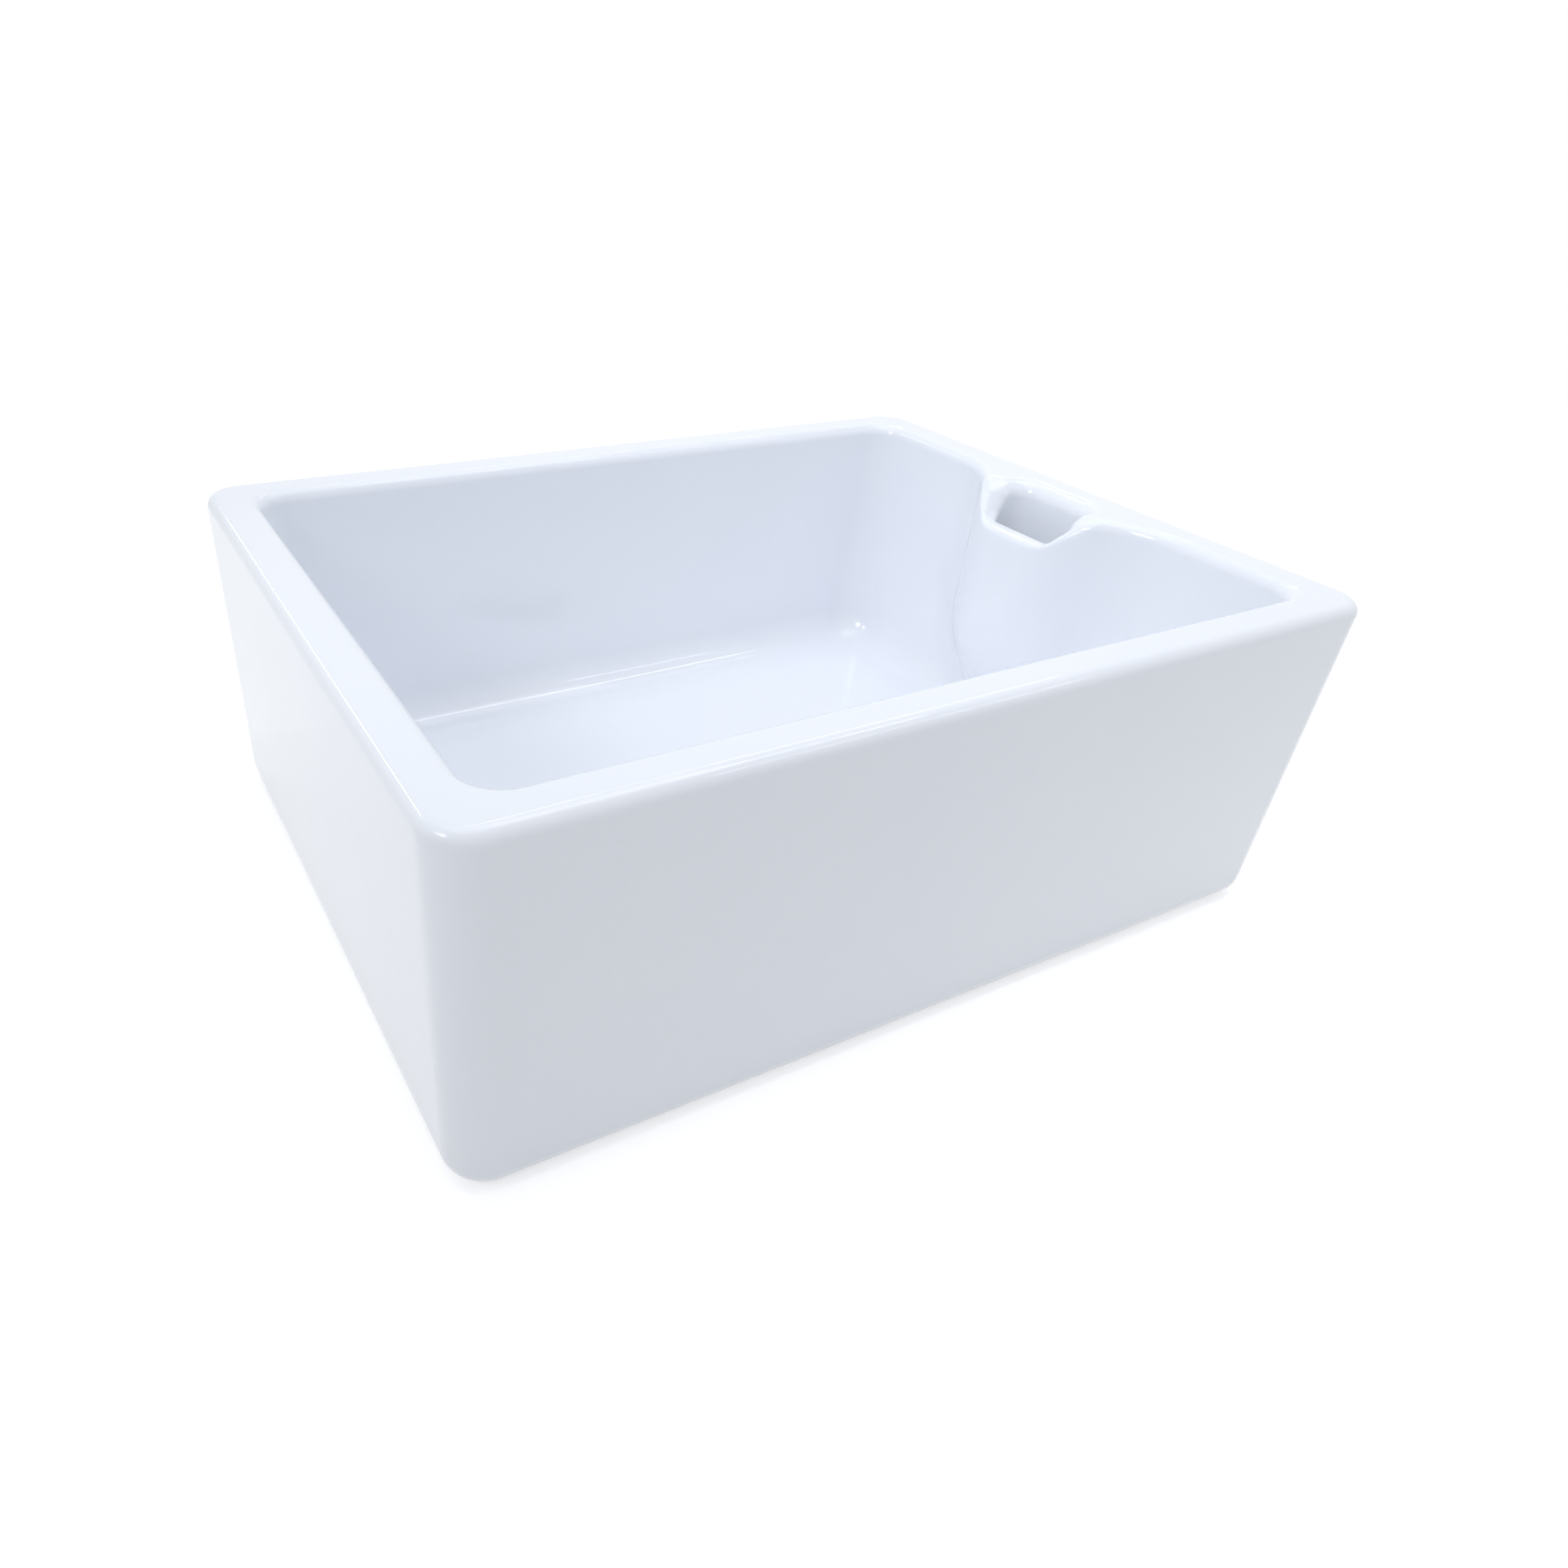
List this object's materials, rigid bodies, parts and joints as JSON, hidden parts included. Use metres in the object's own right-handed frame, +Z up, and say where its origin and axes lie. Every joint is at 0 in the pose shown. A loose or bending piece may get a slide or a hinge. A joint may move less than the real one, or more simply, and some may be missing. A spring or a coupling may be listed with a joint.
{
  "type": "kitchen sink",
  "caption": "Rectangular apron front sink in white glazed fireclay with one deep bowl, a weir overflow in its end wall, and a lift-out basket strainer waste.",
  "frame": {"origin": "centre of the sink's flat underside, on the axis of its outlet; the waste hangs below it", "axes": "+X along the sink towards its weir, +Y towards the wall behind the sink, +Z up"},
  "size_m": [0.595, 0.455, 0.2936],
  "materials": {
    "fireclay": "white glaze, gloss, unglazed underneath",
    "steel": "pressed stainless steel, satin with polished edges",
    "brass": "turned, dull",
    "rubber": "matt black",
    "plastic": "moulded white polypropylene, satin"
  },
  "bodies": {
    "sink": {"sink_body": "fireclay", "flange_seal": "rubber", "strainer_cup": "steel", "lower_seal": "rubber", "waste_body": "plastic", "screw_insert": "brass", "clamp_screw": "steel"},
    "basket": {"basket_shell": "steel", "basket_stopper": "rubber", "stopper_retainer": "steel", "post_nut": "steel", "basket_post": "steel", "basket_knob": "steel"}
  },
  "joints": [
    {"name": "basket_lift", "type": "slide", "parent": "sink", "child": "basket", "axis": [0, 0, 1], "range_m": [0, 0.25]}
  ]
}
